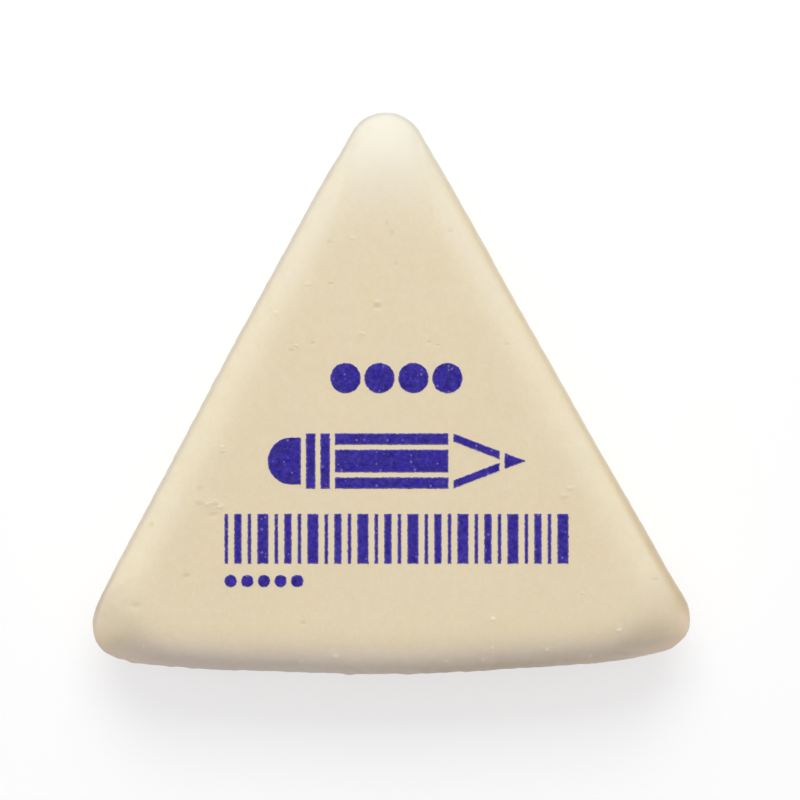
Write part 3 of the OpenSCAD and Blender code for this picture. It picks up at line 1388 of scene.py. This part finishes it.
@dataclass(frozen=True)
class PencilSign:
    """A plain picture of a pencil: rubber end, ferrule, three facets, cone and lead.

    Attributes:
        node: The CAD node of the pencil.
        height: Height across the facets.
        cone_l: Length of the cone, with its lead.
        lead_l: Length of the lead.
        cone_edge: Width of the cone's inked edges.
        rubber_l, rubber_h: Length and height of the rubber end.
        ferrule_w: Width of one ferrule band.
        line: Bare line between two fields.
        blunt: Width of the lead's tip.
    """

    node: str = "ink_pencil"
    height: float = 4 * MM
    cone_l: float = 5.2 * MM
    lead_l: float = 1.5 * MM
    cone_edge: float = 0.6 * MM
    rubber_l: float = 2.4 * MM
    rubber_h: float = 3.4 * MM
    ferrule_w: float = 0.7 * MM
    line: float = 0.35 * MM
    blunt: float = 0.08 * MM

    def fields(self, ink: InkPrint) -> list[Array]:
        """The pencil's fields, centred on its middle, as long as its CAD node."""
        low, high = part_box(self.node)
        length = high.x - low.x
        half = self.height / 2
        made = [ink.round_end(-length / 2, self.rubber_l, self.rubber_h)]
        x = -length / 2 + self.rubber_l + self.line
        for _ in range(2):
            made.append(ink.bar(x, -half, self.ferrule_w, self.height))
            x += self.ferrule_w + self.line
        cone_x = length / 2 - self.cone_l
        shaft_l = cone_x - self.line - x
        facet = (self.height - 2 * self.line) / 4
        made.append(ink.bar(x, -facet, shaft_l, 2 * facet))
        made += [ink.bar(x, y, shaft_l, facet) for y in (-half, half - facet)]
        return made + self._cone(ink, cone_x)

    def _cone(self, ink: InkPrint, x: float) -> list[Array]:
        """The cone's two slanted edges and its lead.

        Args:
            ink: Makes the fields.
            x: Where the cone starts.

        Returns:
            The three fields.
        """
        half = self.height / 2
        taper = half / self.cone_l
        wood_l = self.cone_l - self.lead_l - self.line
        wood_h = half - taper * wood_l
        upper = np.array(
            [
                [x, half - self.cone_edge],
                [x + wood_l, wood_h - self.cone_edge],
                [x + wood_l, wood_h],
                [x, half],
            ]
        )
        lower = upper[::-1] * np.array([1, -1])
        lead_x, lead_h, tip = x + self.cone_l - self.lead_l, taper * self.lead_l, x + self.cone_l
        lead = np.array([[lead_x, -lead_h], [tip, -self.blunt / 2], [tip, self.blunt / 2], [lead_x, lead_h]])
        return [ink.patch(upper), ink.patch(lower), ink.patch(lead)]


@dataclass(frozen=True)
class PhotoView:
    """The photograph's view: straight down, with the block a little turned and off the middle.

    Attributes:
        picture_w: Width of the picture, in pixels.
        scale: Pixels of the picture per millimetre of the block.
        middle_x, middle_y: The block's middle in the picture, in pixels.
        roll: How far the block is turned anticlockwise in the picture, in degrees.
        lens, sensor: Focal length and sensor width, in millimetres.
        near, far: Distances between which the camera sees, in metres.
    """

    picture_w: float = 800
    scale: float = 13.64
    middle_x: float = 387.0
    middle_y: float = 392.9
    roll: float = 0.61
    lens: float = 200
    sensor: float = 36
    near: float = 0.01
    far: float = 10

    def camera(self, mid_height: float) -> bpy.types.Object:
        """Sets up the camera.

        Args:
            mid_height: Height of the block's widest outline, which sets the scale.

        Returns:
            The camera.
        """
        data = bpy.data.cameras.new("photo_view")
        data.lens = self.lens
        data.sensor_width = self.sensor
        data.clip_start, data.clip_end = self.near, self.far
        camera = bpy.data.objects.new("photo_view", data)
        bpy.context.scene.collection.objects.link(camera)
        distance = self.picture_w / self.scale * MM * self.lens / self.sensor
        angle = math.radians(-self.roll)
        right = (self.picture_w / 2 - self.middle_x) / self.scale * MM
        up = (self.middle_y - self.picture_w / 2) / self.scale * MM
        camera.location = (
            right * math.cos(angle) - up * math.sin(angle),
            right * math.sin(angle) + up * math.cos(angle),
            mid_height + distance,
        )
        camera.rotation_euler = (0, 0, angle)
        bpy.context.scene.camera = camera
        return camera


@dataclass(frozen=True)
class SoftBox:
    """A soft lamp that looks at the block.

    Attributes:
        name: The lamp's name.
        azimuth: Direction it stands in, in degrees anticlockwise from +X.
        elevation: Its height above the floor as an angle, in degrees.
        distance: Its distance from the block.
        width, height: Its size.
        level: How brightly it lights a surface that faces it, where 1 shows white as white.
        colour: Colour of its light.
    """

    name: str
    azimuth: float
    elevation: float
    distance: float
    width: float
    height: float
    level: float
    colour: Rgb

    @property
    def power(self) -> float:
        """Power that lights a facing white surface to the level.

        The lamp fills the share F = 2 / pi (a atan b' + b atan a') of such a surface's view, where a and b
        are the sines of its half width and half height as angles, and a' and b' their cross terms.
        """
        x, y = self.width / 2 / self.distance, self.height / 2 / self.distance
        far_x, far_y = math.hypot(1, x), math.hypot(1, y)
        share = 2 / math.pi * (x / far_x * math.atan(y / far_x) + y / far_y * math.atan(x / far_y))
        return self.level / share * math.pi * self.width * self.height

    def place(self) -> bpy.types.Object:
        """Makes the lamp and turns it to the block."""
        data = bpy.data.lights.new(self.name, "AREA")
        data.shape = "RECTANGLE"
        data.size, data.size_y = self.width, self.height
        data.energy = self.power
        data.color = self.colour
        lamp = bpy.data.objects.new(self.name, data)
        bpy.context.scene.collection.objects.link(lamp)
        azimuth, elevation = math.radians(self.azimuth), math.radians(self.elevation)
        level = self.distance * math.cos(elevation)
        lamp.location = (
            level * math.cos(azimuth),
            level * math.sin(azimuth),
            self.distance * math.sin(elevation),
        )
        lamp.rotation_euler = (math.pi / 2 - elevation, 0, azimuth + math.pi / 2)
        return lamp


@dataclass(frozen=True)
class Studio:
    """A pale floor, an even sky and soft lamps.

    Attributes:
        floor_w: Width of the floor.
        floor_colour: Colour of the floor.
        floor_shown: How much of the lamps' light on the floor the camera sees.
        floor_lift: Even light that the floor shows the camera besides, so that it reads as white.
        sky: Colour of the sky's light.
        sky_level: Brightness of the sky's light.
        lamps: The soft lamps.
    """

    floor_w: float = 4.0
    floor_colour: Rgb = (0.82, 0.82, 0.82)
    floor_shown: float = 0.4
    floor_lift: float = 0.6
    sky: Rgb = (1.03, 0.97, 1.04)
    sky_level: float = 0.24
    lamps: tuple[SoftBox, ...] = (
        SoftBox("top_lamp", 90, 88, 1.0, 1.2, 1.2, 0.22, (1.0, 1.0, 1.0)),
        SoftBox("rear_lamp", 90, 52, 0.8, 0.6, 0.4, 0.54, (0.982, 1.0, 0.99)),
        SoftBox("rear_strip", 90, 15, 0.8, 0.6, 0.25, 0.195, (0.965, 1.0, 0.985)),
        SoftBox("left_strip", 150, 15, 0.8, 0.6, 0.25, 0.12, (1.0, 1.0, 1.0)),
        SoftBox("right_strip", 30, 15, 0.8, 0.6, 0.25, 0.09, (1.0, 1.0, 1.0)),
        SoftBox("left_edge", 205, 4, 0.8, 0.5, 0.1, 0.06, (1.0, 1.0, 1.0)),
        SoftBox("right_edge", -25, 4, 0.8, 0.5, 0.1, 0.06, (1.0, 1.0, 1.0)),
    )

    def build(self) -> None:
        """Sets up the floor, the sky, the lamps and the plain view transform."""
        self._floor()
        self._sky()
        for lamp in self.lamps:
            lamp.place()
        bpy.context.scene.view_settings.view_transform = "Standard"

    def _floor(self) -> None:
        """Lays the floor, a diffuse sheet that shows a little extra light to the camera."""
        half = self.floor_w / 2
        corners = np.array([[-half, -half, 0], [half, -half, 0], [half, half, 0], [-half, half, 0]])
        floor = mesh_piece("floor", corners, [np.array([[0, 1, 2, 3]])])
        made, board = open_material("floor_paper")
        camera_ray = board.add("ShaderNodeLightPath").outputs["Is Camera Ray"]
        seen = board.blend(camera_ray, self.floor_colour, (self.floor_shown,) * 3)
        glow = board.math("MULTIPLY", camera_ray, self.floor_lift)
        paper = board.add("ShaderNodeBsdfDiffuse", {"Color": seen})
        lift = board.add("ShaderNodeEmission", {"Strength": glow})
        board.surface(board.add("ShaderNodeAddShader", {0: paper.outputs[0], 1: lift.outputs[0]}))
        floor.data.materials.append(made)

    def _sky(self) -> None:
        """Lights the scene evenly from all round, and shows white where the camera sees past the floor."""
        world = bpy.data.worlds.new("soft_sky")
        world.use_nodes = True
        board = NodeBoard(world.node_tree)
        light = board.add("ShaderNodeBackground", {"Color": (*self.sky, 1), "Strength": self.sky_level})
        white = board.add("ShaderNodeBackground", {"Color": (1, 1, 1, 1), "Strength": 1.0})
        camera_ray = board.add("ShaderNodeLightPath").outputs["Is Camera Ray"]
        both = board.add("ShaderNodeMixShader", {0: camera_ray, 1: light.outputs[0], 2: white.outputs[0]})
        board.surface(both, "ShaderNodeOutputWorld")
        bpy.context.scene.world = world


def main() -> None:
    """Builds the eraser, its print and the studio."""
    logging.basicConfig(level=logging.INFO, format="%(name)s: %(message)s")
    effects = Effects()
    block = RubberBlock()
    rubber = RubberFinish().material(effects, block.marks)
    ink_film = InkFinish().material(effects)
    pieces = [block.build(rubber)]
    ink = InkPrint(block)
    rows = [
        DotRow("ink_top_dots", 4, 2.45 * MM, 2.2 * MM),
        PencilSign(),
        BarBand(),
        DotRow("ink_foot_dots", 5, 1.2 * MM, 0.9 * MM),
    ]
    pieces += [ink.build(row.node, row.fields(ink), ink_film) for row in rows]
    for piece in pieces:
        log.info("%s: %d faces", piece.name, len(piece.data.polygons))
    Studio().build()
    PhotoView().camera(block.thickness / 2)


if __name__ == "__main__":
    main()
